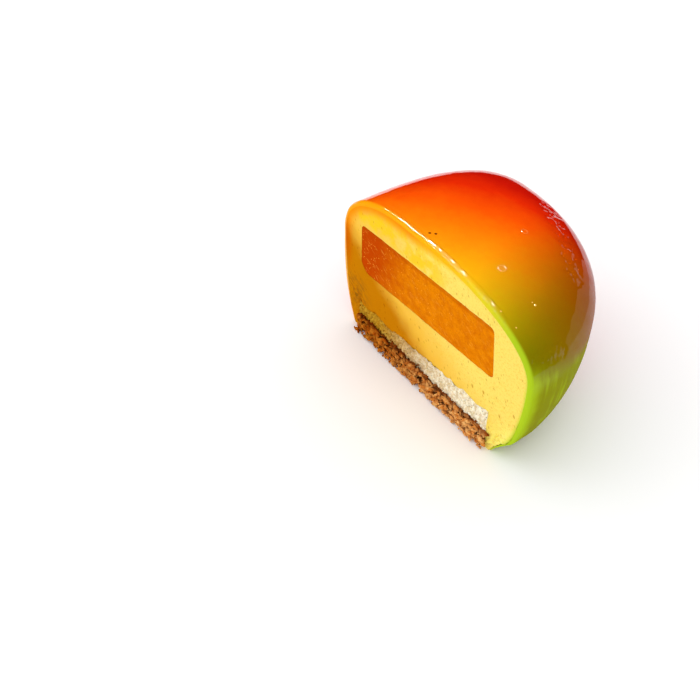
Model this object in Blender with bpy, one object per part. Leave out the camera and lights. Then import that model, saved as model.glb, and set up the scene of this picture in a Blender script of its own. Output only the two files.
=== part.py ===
"""Half of a mango-shaped mousse cake, cut across, in metres with +Z up.

The cut face looks along -Y. X runs along the cut, with the end near the viewer at +X. The origin is on the
surface that the cake stands on, under the middle of its box.
"""

import math

import bmesh
import bpy
from mathutils import Matrix, Vector, noise

MM = 0.001

# The dome is an ovoid cut off flat below. Its reaches are measured from the point under its crown.
NEAR_REACH = 49.2 * MM
FAR_REACH = 30.8 * MM
DEPTH = 49.3 * MM
WAIST_HEIGHT = 31.8 * MM
CROWN_RISE = 18.8 * MM
LOWER_REACH = 49.0 * MM
SQUARENESS = 2.29
TIP_SHIFT = -5.7 * MM
TIP_RISE = 2.1 * MM
DOME_PANELS = 18

# Touching pieces keep GAP between their meshes. The glaze runs thin towards its lower edge.
GAP = 0.3 * MM
GLAZE_THICKNESS = 1.4 * MM
GLAZE_THIN = 0.6 * MM
GLAZE_FULL_HEIGHT = 20.0 * MM
GLAZE_LIP_HEIGHT = 0.5 * MM

# The two round layers that the mousse stands on. The sponge's top slopes down to the far end.
FOOT_NEAR_X = 26.4 * MM
FOOT_FAR_X = -31.6 * MM
FOOT_DEPTH = 35.5 * MM
CRUNCH_THICKNESS = 5.6 * MM
SPONGE_THICKNESS = 7.4 * MM
SPONGE_SLOPE = math.radians(3.4)
FOOT_SIDES = 56

# The fruit insert is wider at its bottom and a little higher at its near end.
INSERT_NEAR_X = 26.2 * MM
INSERT_FAR_X = -31.2 * MM
INSERT_DEPTH = 34.0 * MM
INSERT_BOTTOM = 24.1 * MM
INSERT_THICKNESS = 15.8 * MM
INSERT_DRAFT = 0.8 * MM
INSERT_SLOPE = math.radians(3.0)
INSERT_SIDES = 48
INSERT_ROUNDING = 0.9 * MM

# The relief on the cut through the crumb.
CRUMB_PITCH = 1.25 * MM
CRUNCH_LUMP = 2.7 * MM
CRUNCH_PROUD = 2.6 * MM
CRUNCH_SUNK = 0.4 * MM
CRUNCH_LEAN = 1.1 * MM
CRUMB_STEEPNESS = 3.4
LOWEST_CRUMB = 0.55
CRUMB_SEED = 7.3
SPONGE_PORE = 1.9 * MM
SPONGE_RELIEF = 0.45 * MM

# Edges flatter than this are shaded smooth, and the insert's sharper ones are worn round.
EDGE_ANGLE = math.radians(35)

FOOT_HEIGHT = CRUNCH_THICKNESS + SPONGE_THICKNESS
CUT_Y = (CRUNCH_PROUD - DEPTH) / 2
CROWN_X = (FAR_REACH - NEAR_REACH) / 2


def clear_scene():
    for obj in list(bpy.data.objects):
        bpy.data.objects.remove(obj, do_unlink=True)


def new_collection(name):
    collection = bpy.data.collections.new(name)
    bpy.context.scene.collection.children.link(collection)
    return collection


def food_material(name, colour, roughness):
    material = bpy.data.materials.new(name)
    material.use_nodes = True
    shader = material.node_tree.nodes["Principled BSDF"]
    shader.inputs["Base Color"].default_value = (*colour, 1.0)
    shader.inputs["Roughness"].default_value = roughness
    shader.inputs["Metallic"].default_value = 0.0
    material.diffuse_color = (*colour, 1.0)
    return material


def add_object(bm, name, collection, smooth=False):
    mesh = bpy.data.meshes.new(name)
    bmesh.ops.recalc_face_normals(bm, faces=bm.faces[:])
    bm.to_mesh(mesh)
    bm.free()
    if smooth:
        mesh.shade_smooth()
        mesh.set_sharp_from_angle(angle=EDGE_ANGLE)
    obj = bpy.data.objects.new(name, mesh)
    collection.objects.link(obj)
    return obj


def add_cutter(bm, name, collection):
    cutter = add_object(bm, name, collection)
    cutter.hide_render = True
    cutter.display_type = "WIRE"
    return cutter


def subtract(obj, cutter):
    modifier = obj.modifiers.new(cutter.name, "BOOLEAN")
    modifier.operation = "DIFFERENCE"
    modifier.object = cutter
    modifier.solver = "EXACT"


def slice_off(bm, point, normal):
    """Cuts away what lies on the normal's side of a plane, and closes the cut."""
    geometry = bm.verts[:] + bm.edges[:] + bm.faces[:]
    bmesh.ops.bisect_plane(
        bm, geom=geometry, plane_co=point, plane_no=normal, dist=1e-7, clear_outer=True
    )
    rim = [edge for edge in bm.edges if edge.is_boundary]
    bmesh.ops.holes_fill(bm, edges=rim, sides=0)


def bend_to_tip(point):
    """The shift that the dome and its layers have as they run back from the cut."""
    return ((point.y - CUT_Y) / DEPTH) ** 2


def ovoid_point(direction):
    """The point where a ray from the middle of the waist meets the uncut dome."""
    reach = NEAR_REACH if direction.x > 0 else FAR_REACH
    rise = CROWN_RISE if direction.z > 0 else LOWER_REACH
    parts = (direction.x / reach, direction.y / DEPTH, direction.z / rise)
    length = sum(abs(part) ** SQUARENESS for part in parts) ** (-1 / SQUARENESS)
    point = Vector((CROWN_X, CUT_Y, WAIST_HEIGHT)) + direction * length
    bend = bend_to_tip(point)
    return point + Vector((TIP_SHIFT * bend, 0, TIP_RISE * bend))


def ovoid(in_glaze=False, gap=0.0):
    """The whole ovoid, a cube's grid blown up to the outer or the inner surface of the glaze."""
    bm = bmesh.new()
    bmesh.ops.create_cube(bm, size=2.0)
    bmesh.ops.subdivide_edges(bm, edges=bm.edges[:], cuts=DOME_PANELS - 1, use_grid_fill=True)
    for vert in bm.verts:
        even = Vector(math.tan(part * math.pi / 4) for part in vert.co)
        vert.co = ovoid_point(even.normalized())
    bmesh.ops.recalc_face_normals(bm, faces=bm.faces[:])
    bm.normal_update()
    if in_glaze:
        for vert, normal in [(vert, vert.normal.copy()) for vert in bm.verts]:
            full = min(1.0, max(0.0, vert.co.z / GLAZE_FULL_HEIGHT))
            thickness = GLAZE_THIN + (GLAZE_THICKNESS - GLAZE_THIN) * full
            vert.co -= normal * (thickness + gap)
    return bm


def halved(bm, floor):
    slice_off(bm, Vector((0, CUT_Y, 0)), Vector((0, -1, 0)))
    slice_off(bm, Vector((0, 0, floor)), Vector((0, 0, -1)))
    return bm


def oval_disc(sides, near_x, far_x, depth, bottom, thickness, draft=0.0, slope=0.0):
    """An oval disc with its long axis in the cut, bent with the dome. The draft narrows its top."""
    length = near_x - far_x
    bm = bmesh.new()
    bmesh.ops.create_cone(
        bm,
        cap_ends=True,
        segments=sides,
        radius1=1.0,
        radius2=1.0 - 2 * draft / length,
        depth=thickness,
    )
    middle = Vector(((near_x + far_x) / 2, CUT_Y, bottom + thickness / 2))
    shape = (
        Matrix.Translation(middle)
        @ Matrix.Rotation(-slope, 4, "Y")
        @ Matrix.Diagonal((length / 2, depth, 1.0, 1.0))
    )
    bmesh.ops.transform(bm, matrix=shape, verts=bm.verts[:])
    for vert in bm.verts:
        vert.co.x += TIP_SHIFT * bend_to_tip(vert.co)
    return bm


def on_cut(point):
    return abs(point.y - CUT_Y) < 1e-6


def grid_cut_face(bm, pitch):
    """Divides the cut face into squares of about the pitch, and returns its points."""
    corners = [vert.co for vert in bm.verts if on_cut(vert.co)]
    low = Vector(min(corner[axis] for corner in corners) for axis in range(3))
    high = Vector(max(corner[axis] for corner in corners) for axis in range(3))
    for axis, normal in ((0, Vector((1, 0, 0))), (2, Vector((0, 0, 1)))):
        count = round((high[axis] - low[axis]) / pitch)
        for step in range(1, count):
            faces = [face for face in bm.faces if on_cut(face.calc_center_median())]
            edges = {edge for face in faces for edge in face.edges}
            verts = {vert for face in faces for vert in face.verts}
            bmesh.ops.bisect_plane(
                bm,
                geom=list(verts) + list(edges) + faces,
                plane_co=low.lerp(high, step / count),
                plane_no=normal,
                dist=1e-7,
            )
    return [vert for vert in bm.verts if on_cut(vert.co)]


def crumb_height(point):
    """From 0 between the crumbs to 1 on the proudest crumb's middle."""
    distances, middles = noise.voronoi(point / CRUNCH_LUMP)
    flank = min(1.0, (distances[1] - distances[0]) * CRUMB_STEEPNESS)
    own = abs(noise.cell(middles[0] * CRUMB_SEED))
    return flank * (LOWEST_CRUMB + (1 - LOWEST_CRUMB) * own)


def crumb_reach(point):
    """How far the crunch stands out of the cut. Its lower edge is spread outwards."""
    height = crumb_height(point)
    lean = CRUNCH_LEAN * (1.0 - point.z / CRUNCH_THICKNESS)
    return (CRUNCH_PROUD + CRUNCH_SUNK - CRUNCH_LEAN + lean) * height - CRUNCH_SUNK


def make_glaze(parts, cutters):
    """Clear coloured glaze over the dome, down to a lip just above the plate."""
    glaze = add_object(halved(ovoid(), GLAZE_LIP_HEIGHT), "glaze", parts, smooth=True)
    glaze.data.materials.append(food_material("glaze", (0.86, 0.27, 0.02), 0.08))
    subtract(glaze, add_cutter(ovoid(in_glaze=True), "glaze_inside", cutters))


def insert_disc(grown=0.0):
    """The whole insert, larger by grown all round."""
    return oval_disc(
        INSERT_SIDES,
        INSERT_NEAR_X + grown,
        INSERT_FAR_X - grown,
        INSERT_DEPTH + grown,
        INSERT_BOTTOM - grown,
        INSERT_THICKNESS + 2 * grown,
        INSERT_DRAFT,
        INSERT_SLOPE,
    )


def foot_disc(bottom, thickness, grown=0.0):
    """A layer of the foot, uncut, larger by grown at its sides and under the slope of its top."""
    bm = oval_disc(
        FOOT_SIDES,
        FOOT_NEAR_X + grown,
        FOOT_FAR_X - grown,
        FOOT_DEPTH + grown,
        bottom,
        thickness + grown,
    )
    top = Vector((FOOT_NEAR_X, CUT_Y, FOOT_HEIGHT + grown))
    slice_off(bm, top, Vector((-math.sin(SPONGE_SLOPE), 0, math.cos(SPONGE_SLOPE))))
    return bm


def foot_layer(bottom, thickness):
    bm = foot_disc(bottom, thickness)
    slice_off(bm, Vector((0, CUT_Y, 0)), Vector((0, -1, 0)))
    return bm


def make_insert(parts):
    """Set fruit puree, with the worn rims of something that came frozen out of a mould."""
    bm = insert_disc()
    rims = [edge for edge in bm.edges if edge.calc_face_angle() > EDGE_ANGLE]
    bmesh.ops.bevel(bm, geom=rims, offset=INSERT_ROUNDING, segments=2, affect="EDGES", profile=0.5)
    slice_off(bm, Vector((0, CUT_Y, 0)), Vector((0, -1, 0)))
    insert = add_object(bm, "fruit_insert", parts, smooth=True)
    insert.data.materials.append(food_material("fruit_insert", (0.80, 0.22, 0.01), 0.28))


def make_mousse(parts, cutters):
    """The mousse fills the glaze and goes round the insert and the two layers of the foot."""
    mousse = add_object(halved(ovoid(in_glaze=True, gap=GAP), 0.0), "mousse", parts, smooth=True)
    mousse.data.materials.append(food_material("mousse", (0.95, 0.62, 0.09), 0.55))
    foot = foot_disc(-FOOT_HEIGHT, 2 * FOOT_HEIGHT, GAP)
    subtract(mousse, add_cutter(insert_disc(GAP), "insert_hollow", cutters))
    subtract(mousse, add_cutter(foot, "foot_hollow", cutters))


def make_sponge(parts):
    """Pale nut sponge. The cut opens its pores, so the face is pitted."""
    bm = foot_layer(CRUNCH_THICKNESS, SPONGE_THICKNESS)
    for vert in grid_cut_face(bm, CRUMB_PITCH):
        vert.co.y += SPONGE_RELIEF * noise.fractal(vert.co / SPONGE_PORE, 1.0, 2.0, 2)
    sponge = add_object(bm, "sponge", parts)
    sponge.data.materials.append(food_material("sponge", (0.90, 0.80, 0.60), 0.85))


def make_crunch(parts):
    """Brown nut crunch. Its crumbs stand out of the cut, most along the spread lower edge."""
    bm = foot_layer(0.0, CRUNCH_THICKNESS - GAP)
    verts = grid_cut_face(bm, CRUMB_PITCH)
    reaches = [crumb_reach(vert.co) for vert in verts]
    for vert, reach in zip(verts, reaches):
        vert.co.y -= reach * CRUNCH_PROUD / max(reaches)
    crunch = add_object(bm, "crunch", parts)
    crunch.data.materials.append(food_material("crunch", (0.42, 0.19, 0.06), 0.6))


def build():
    clear_scene()
    parts = new_collection("mousse_cake_half")
    cutters = new_collection("cutters")
    make_glaze(parts, cutters)
    make_mousse(parts, cutters)
    make_insert(parts)
    make_sponge(parts)
    make_crunch(parts)


build()
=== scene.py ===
"""Half of a glazed, mango-shaped mousse cake on a pale floor, in metres with +Z up."""

import math
import random

import bmesh
import bpy
from mathutils import Euler, Matrix, Vector, noise


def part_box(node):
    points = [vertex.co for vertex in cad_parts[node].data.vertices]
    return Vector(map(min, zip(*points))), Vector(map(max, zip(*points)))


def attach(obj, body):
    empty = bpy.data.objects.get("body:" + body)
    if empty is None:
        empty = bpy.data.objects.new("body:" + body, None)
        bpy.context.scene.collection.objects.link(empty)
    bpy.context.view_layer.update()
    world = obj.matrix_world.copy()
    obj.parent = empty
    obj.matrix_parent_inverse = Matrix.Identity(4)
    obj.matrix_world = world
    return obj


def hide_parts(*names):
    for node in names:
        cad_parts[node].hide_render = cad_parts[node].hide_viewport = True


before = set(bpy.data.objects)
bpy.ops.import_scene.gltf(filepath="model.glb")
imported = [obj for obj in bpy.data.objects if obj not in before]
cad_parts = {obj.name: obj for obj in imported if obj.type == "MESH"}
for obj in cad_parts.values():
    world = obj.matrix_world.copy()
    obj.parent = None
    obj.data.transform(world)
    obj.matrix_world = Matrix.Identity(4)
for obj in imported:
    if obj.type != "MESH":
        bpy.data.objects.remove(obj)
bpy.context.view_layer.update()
MM = 0.001
CUT_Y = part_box("mousse")[0].y

# Camera. It looks down at the cake from beyond its long end, so that the cut runs away to the upper left
# and the dome shows behind it.
VIEW_TARGET = Vector((-24.5 * MM, CUT_Y - 8.45 * MM, 0.0))
VIEW_DISTANCE = 321.7 * MM
VIEW_TURN = math.radians(55.15)
VIEW_RISE = math.radians(44.06)
LENS = 56.3
CLIP_START = 10 * MM


def bearing(turn, rise):
    """The direction to something that stands at that turn from the cut's front, and that far up."""
    flat = Vector((math.sin(turn), -math.cos(turn), 0.0)) * math.cos(rise)
    return flat + Vector((0.0, 0.0, math.sin(rise)))


def aim(obj, target):
    """Turns a camera, a light or a card to face the target."""
    obj.rotation_euler = (target - obj.location).to_track_quat("-Z", "Y").to_euler()


bpy.ops.object.camera_add(location=VIEW_TARGET + VIEW_DISTANCE * bearing(VIEW_TURN, VIEW_RISE))
camera = bpy.context.object
camera.name = "view"
camera.data.lens = LENS
camera.data.clip_start = CLIP_START
aim(camera, VIEW_TARGET)
bpy.context.scene.camera = camera
bpy.context.scene.view_settings.view_transform = "Standard"


# Studio. A white table under a soft sky that is brighter on the left, with a soft light on that side. The
# glaze mirrors only the near part of the table, a pale card behind the cake, the soft light and two strips.
TABLE_RADIUS = 900 * MM
MIRRORED_RADIUS = 260 * MM
TABLE_COLOUR = (0.95, 0.95, 0.95, 1.0)
SKY_TURN = math.radians(-50)
SKY_RISE = math.radians(62)
SKY_GLOW = 0.93
SKY_SLOPE = 0.34
CARD_RADIUS = 165 * MM
CARD_PLACE = 300 * MM * bearing(math.radians(162), 0.0) - Vector((0.0, 0.0, 30 * MM))
CARD_PAINT = (0.0, 0.0, 0.0, 1.0)
CARD_GLOW_COLOUR = (1.0, 0.86, 0.68, 1.0)
CARD_GLOW = 0.62
SOFT_TURN = math.radians(-42)
SOFT_RISE = math.radians(40)
SOFT_DISTANCE = 550 * MM
SOFT_SIZE = 300 * MM
SOFT_POWER = 0.2
STRIP_TURNS = (math.radians(-72), math.radians(-18))
STRIP_RISES = (math.radians(48), math.radians(60))
STRIP_DISTANCE = 500 * MM
STRIP_LENGTH = 420 * MM
STRIP_HEIGHT = 220 * MM
STRIP_POWER = 26.0
LIT_POINT = Vector((0.0, 0.0, 30 * MM))


def linear(red, green, blue):
    """A colour given in screen values from 0 to 255, as the shaders take it."""
    shares = (red / 255, green / 255, blue / 255)
    return tuple(s / 12.92 if s <= 0.04045 else ((s + 0.055) / 1.055) ** 2.4 for s in shares) + (1.0,)


def studio_paint(name, colour, glow_colour, glow):
    """A dull paint for the things of the studio, which glows if asked to."""
    paint = bpy.data.materials.new(name)
    paint.use_nodes = True
    shader = paint.node_tree.nodes["Principled BSDF"]
    shader.inputs["Base Color"].default_value = colour
    shader.inputs["Roughness"].default_value = 1.0
    shader.inputs["Specular IOR Level"].default_value = 0.0
    shader.inputs["Emission Color"].default_value = glow_colour
    shader.inputs["Emission Strength"].default_value = glow
    return paint


table_paint = studio_paint("table_white", TABLE_COLOUR, TABLE_COLOUR, 0.0)
bpy.ops.object.select_all(action="DESELECT")
bpy.ops.mesh.primitive_circle_add(vertices=96, radius=MIRRORED_RADIUS, fill_type="NGON")
near_table = bpy.context.object
near_table.name = "near_table"
near_table.data.materials.append(table_paint)

bpy.ops.object.select_all(action="DESELECT")
bpy.ops.mesh.primitive_circle_add(vertices=96, radius=MIRRORED_RADIUS, fill_type="NOTHING")
far_table = bpy.context.object
far_table.name = "far_table"
bpy.ops.object.mode_set(mode="EDIT")
bpy.ops.mesh.select_all(action="SELECT")
bpy.ops.mesh.extrude_region_move()
wider = TABLE_RADIUS / MIRRORED_RADIUS
bpy.ops.transform.resize(value=(wider, wider, 1.0), center_override=(0.0, 0.0, 0.0))
bpy.ops.mesh.select_all(action="SELECT")
bpy.ops.mesh.normals_make_consistent(inside=False)
bpy.ops.object.mode_set(mode="OBJECT")
far_table.data.materials.append(table_paint)
far_table.visible_glossy = False

bpy.ops.object.select_all(action="DESELECT")
bpy.ops.mesh.primitive_circle_add(vertices=64, radius=CARD_RADIUS, fill_type="NGON", location=CARD_PLACE)
card = bpy.context.object
card.name = "white_card"
aim(card, Vector((0.0, 0.0, CARD_PLACE.z)))
card.data.materials.append(studio_paint("card_white", CARD_PAINT, CARD_GLOW_COLOUR, CARD_GLOW))
card.visible_camera = False
card.visible_diffuse = False
card.visible_shadow = False

sky = bpy.data.worlds.new("sky")
bpy.context.scene.world = sky
sky.use_nodes = True
sky.cycles_visibility.glossy = False
sky_nodes = sky.node_tree.nodes
direction = sky_nodes.new("ShaderNodeTexCoord")
side = sky_nodes.new("ShaderNodeVectorMath")
side.operation = "DOT_PRODUCT"
side.inputs[1].default_value = bearing(SKY_TURN, SKY_RISE)
strength = sky_nodes.new("ShaderNodeMath")
strength.operation = "MULTIPLY_ADD"
strength.inputs[1].default_value = SKY_SLOPE
strength.inputs[2].default_value = SKY_GLOW
sky_shader = sky_nodes["Background"]
sky_shader.inputs["Color"].default_value = (1.0, 1.0, 1.0, 1.0)
sky.node_tree.links.new(direction.outputs["Generated"], side.inputs[0])
sky.node_tree.links.new(side.outputs["Value"], strength.inputs[0])
sky.node_tree.links.new(strength.outputs["Value"], sky_shader.inputs["Strength"])


def area_light(name, place, size, height, power):
    """A rectangular light that faces the cake."""
    bpy.ops.object.light_add(type="AREA", location=place)
    light = bpy.context.object
    light.name = name
    light.data.shape = "RECTANGLE"
    light.data.size = size
    light.data.size_y = height
    light.data.energy = power
    aim(light, LIT_POINT)
    return light


area_light("soft_light", SOFT_DISTANCE * bearing(SOFT_TURN, SOFT_RISE), SOFT_SIZE, SOFT_SIZE, SOFT_POWER)
for turn, rise in zip(STRIP_TURNS, STRIP_RISES):
    strip = area_light("strip", STRIP_DISTANCE * bearing(turn, rise), STRIP_LENGTH, STRIP_HEIGHT, STRIP_POWER)
    strip.visible_diffuse = False


# Fruit insert. Mango puree set with pectin, frozen in a flat oval mould and laid in the mousse. Its rims are
# worn, and cutting it leaves fine fibres across its face.
TIP_SHIFT = -5.7 * MM
DOME_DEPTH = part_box("glaze")[1].y - CUT_Y
INSERT_LOW, INSERT_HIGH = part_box("fruit_insert")
INSERT_NEAR_X = 26.2 * MM
INSERT_FAR_X = -31.2 * MM
INSERT_BOTTOM = 24.1 * MM
INSERT_THICKNESS = 15.8 * MM
INSERT_DEPTH = 34.0 * MM
INSERT_DRAFT = 0.8 * MM
INSERT_SLOPE = math.radians(3.0)
INSERT_ROUNDING = 1.5 * MM
CORNER_MIDDLE = Vector((-26.4, 0.0, 27.6)) * MM
CORNER_ROUNDING = 4.8 * MM
CORNER_TURNS = (18, 36, 54, 72)
INSERT_GROWN = 0.12 * MM
INSERT_PITCH = 0.32 * MM
FIBRE_RELIEF = 0.08 * MM
FIBRE_LENGTH = 2.6 * MM
FIBRE_WIDTH = 0.5 * MM
PULP_SIZE = 0.7 * MM
INSERT_SUNK = 0.08 * MM
SKIN_GAP = 0.03 * MM
ON_CUT = 0.001 * MM
BLOCK_MARGIN = Vector((1, 0, 1)) * MM
SWAY_SIZE = 4.0 * MM
FINE_SWAY_SIZE = 1.2 * MM
SHIFT_SIZE = 3.7 * MM
SHIFT_OFFSET = Vector((9.0, 0.0, 4.0))
HIGH_SWAY = 0.12 * MM
FOOT_SWAY = 0.75 * MM
FOOT_SHIFT = 0.4 * MM
FOOT_SWAY_HEIGHTS = (20 * MM, 15 * MM)
CALM_HEIGHT = 4 * MM


def new_piece(name):
    """Names the primitive that was just added."""
    piece = bpy.context.object
    piece.name = name
    piece.data.name = name
    return piece


def choose(piece):
    """Selects the piece alone."""
    bpy.ops.object.select_all(action="DESELECT")
    piece.select_set(True)
    bpy.context.view_layer.objects.active = piece


def bake_place(piece):
    """Leaves the object at the origin, unturned and unscaled, with its place in its mesh."""
    choose(piece)
    bpy.ops.object.transform_apply(location=True, rotation=True, scale=True)


def apply_modifier(piece, kind, **settings):
    """Gives the piece a modifier with these settings and applies it."""
    modifier = piece.modifiers.new(kind.title(), kind)
    for name, value in settings.items():
        setattr(modifier, name, value)
    choose(piece)
    bpy.ops.object.modifier_apply(modifier=modifier.name)


def combine(piece, operation, form):
    """Cuts or joins the piece with a form, and removes the form."""
    apply_modifier(piece, "BOOLEAN", operation=operation, object=form, solver="MANIFOLD")
    bpy.data.objects.remove(form, do_unlink=True)


def smooth(piece, angle):
    """Shades the piece smooth, but for edges that turn by more than the angle, in degrees."""
    choose(piece)
    bpy.ops.object.shade_smooth_by_angle(angle=math.radians(angle))


def cut_block(name, low, high, pitch, depth):
    """A block whose front, in the plane of the cut, is divided into squares of the pitch."""
    width = high.x - low.x
    height = high.z - low.z
    bpy.ops.object.select_all(action="DESELECT")
    bpy.ops.mesh.primitive_grid_add(
        x_subdivisions=round(width / pitch),
        y_subdivisions=round(height / pitch),
        size=1.0,
        location=((low.x + high.x) / 2, CUT_Y, (low.z + high.z) / 2),
        rotation=(math.pi / 2, 0.0, 0.0),
    )
    block = new_piece(name)
    block.scale = (width, height, 1.0)
    bake_place(block)
    bpy.ops.object.mode_set(mode="EDIT")
    bpy.ops.mesh.select_all(action="SELECT")
    bpy.ops.mesh.extrude_region_move(TRANSFORM_OT_translate={"value": (0.0, depth, 0.0)})
    bpy.ops.mesh.select_all(action="SELECT")
    bpy.ops.mesh.normals_make_consistent(inside=False)
    bpy.ops.object.mode_set(mode="OBJECT")
    return block


def oval_form(name, near_x, far_x, depth, low, high, draft=0.0, slope=0.0):
    """An oval disc with its long axis in the cut, bent with the dome, whose tip leans to the far end."""
    length = near_x - far_x
    bpy.ops.object.select_all(action="DESELECT")
    bpy.ops.mesh.primitive_cone_add(
        vertices=128,
        radius1=1.0,
        radius2=1.0 - 2 * draft / length,
        depth=high - low,
        location=((near_x + far_x) / 2, CUT_Y, (low + high) / 2),
        rotation=(0.0, -slope, 0.0),
    )
    form = new_piece(name)
    form.scale = (length / 2, depth, 1.0)
    bake_place(form)
    for vert in form.data.vertices:
        vert.co.x += TIP_SHIFT * ((vert.co.y - CUT_Y) / DOME_DEPTH) ** 2
    return form


def bisect(piece, point, normal, clear):
    """Cuts the piece along a plane, and clears what lies on the normal's side if asked to."""
    choose(piece)
    bpy.ops.object.mode_set(mode="EDIT")
    bpy.ops.mesh.select_all(action="SELECT")
    bpy.ops.mesh.bisect(plane_co=point, plane_no=normal, use_fill=clear, clear_outer=clear)
    bpy.ops.object.mode_set(mode="OBJECT")


def insert_form(grown):
    """The whole insert with its worn far corner, larger by grown all round."""
    form = oval_form(
        "insert_form",
        INSERT_NEAR_X + grown,
        INSERT_FAR_X - grown,
        INSERT_DEPTH + grown,
        INSERT_BOTTOM - grown,
        INSERT_BOTTOM + INSERT_THICKNESS + grown,
        INSERT_DRAFT,
        INSERT_SLOPE,
    )
    apply_modifier(
        form, "BEVEL", width=INSERT_ROUNDING, segments=4, limit_method="ANGLE", angle_limit=math.radians(20)
    )
    for turn in CORNER_TURNS:
        facing = Vector((-math.cos(math.radians(turn)), 0.0, -math.sin(math.radians(turn))))
        bisect(form, CORNER_MIDDLE + facing * (CORNER_ROUNDING + grown), facing, clear=True)
    return form


def on_cut(point):
    return abs(point.y - CUT_Y) < ON_CUT


def ramp(value, low, high):
    """From 0 at low to 1 at high, eased at both ends."""
    share = min(1.0, max(0.0, (value - low) / (high - low)))
    return share * share * (3.0 - 2.0 * share)


def layer_wobble(point):
    """How far the layers' borders stray from true. They stray more round the foot, and not on the table."""
    sway = noise.noise(point / SWAY_SIZE) + 0.9 * noise.noise(point / FINE_SWAY_SIZE)
    shift = noise.noise(point / SHIFT_SIZE + SHIFT_OFFSET)
    foot = ramp(point.z, *FOOT_SWAY_HEIGHTS)
    off_table = ramp(point.z, 0.0, CALM_HEIGHT)
    return Vector((shift * FOOT_SHIFT * foot, 0.0, sway * (HIGH_SWAY + FOOT_SWAY * foot))) * off_table


def shape_cut(piece, relief):
    """Lets the borders stray and gives the cut face its relief, which is counted into the piece."""
    for vert in piece.data.vertices:
        place = vert.co.copy()
        if on_cut(place):
            vert.co.y += relief(place)
            vert.co += layer_wobble(place)


def fibre_relief(point):
    """The insert's face: fruit fibres drawn out along a slant, over a fine pulp."""
    drawn = Vector((point.x + 0.5 * point.z, 0.0, point.z - 0.5 * point.x))
    fibre = noise.noise(Vector((drawn.x / FIBRE_LENGTH, 0.0, drawn.z / FIBRE_WIDTH)))
    pulp = noise.noise(point / PULP_SIZE)
    return INSERT_SUNK + FIBRE_RELIEF * (0.6 * fibre + 0.6 * pulp)


fruit_insert = cut_block(
    "fruit_insert_jelly",
    INSERT_LOW - BLOCK_MARGIN,
    INSERT_HIGH + BLOCK_MARGIN,
    INSERT_PITCH,
    INSERT_DEPTH + 2 * MM,
)
combine(fruit_insert, "INTERSECT", insert_form(INSERT_GROWN))
shape_cut(fruit_insert, fibre_relief)
smooth(fruit_insert, 45)


class Field:
    """A number or a colour that varies over a surface. Arithmetic on it adds Math nodes."""

    def __init__(self, food, socket):
        self.food = food
        self.socket = socket

    def math(self, operation, *others):
        sockets = dict(enumerate((self, *others)))
        return self.food.node("ShaderNodeMath", {"operation": operation}, sockets)

    def __add__(self, other):
        return self.math("ADD", other)

    def __mul__(self, other):
        return self.math("MULTIPLY", other)

    def __sub__(self, other):
        return self.math("SUBTRACT", other)

    def __rsub__(self, other):
        return (self * -1.0).math("ADD", other)

    def __truediv__(self, other):
        return self.math("DIVIDE", other)

    def __pow__(self, other):
        return self.math("POWER", other)

    def __abs__(self):
        return self.math("ABSOLUTE")

    __radd__ = __add__
    __rmul__ = __mul__

    def rise(self, low, high):
        """From 0 at low to 1 at high, eased at both ends. It falls where low is the larger."""
        if low > high:
            return 1.0 - self.rise(high, low)
        settings = {"interpolation_type": "SMOOTHSTEP"}
        return self.food.node(
            "ShaderNodeMapRange", settings, {"Value": self, "From Min": low, "From Max": high}
        )


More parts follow.
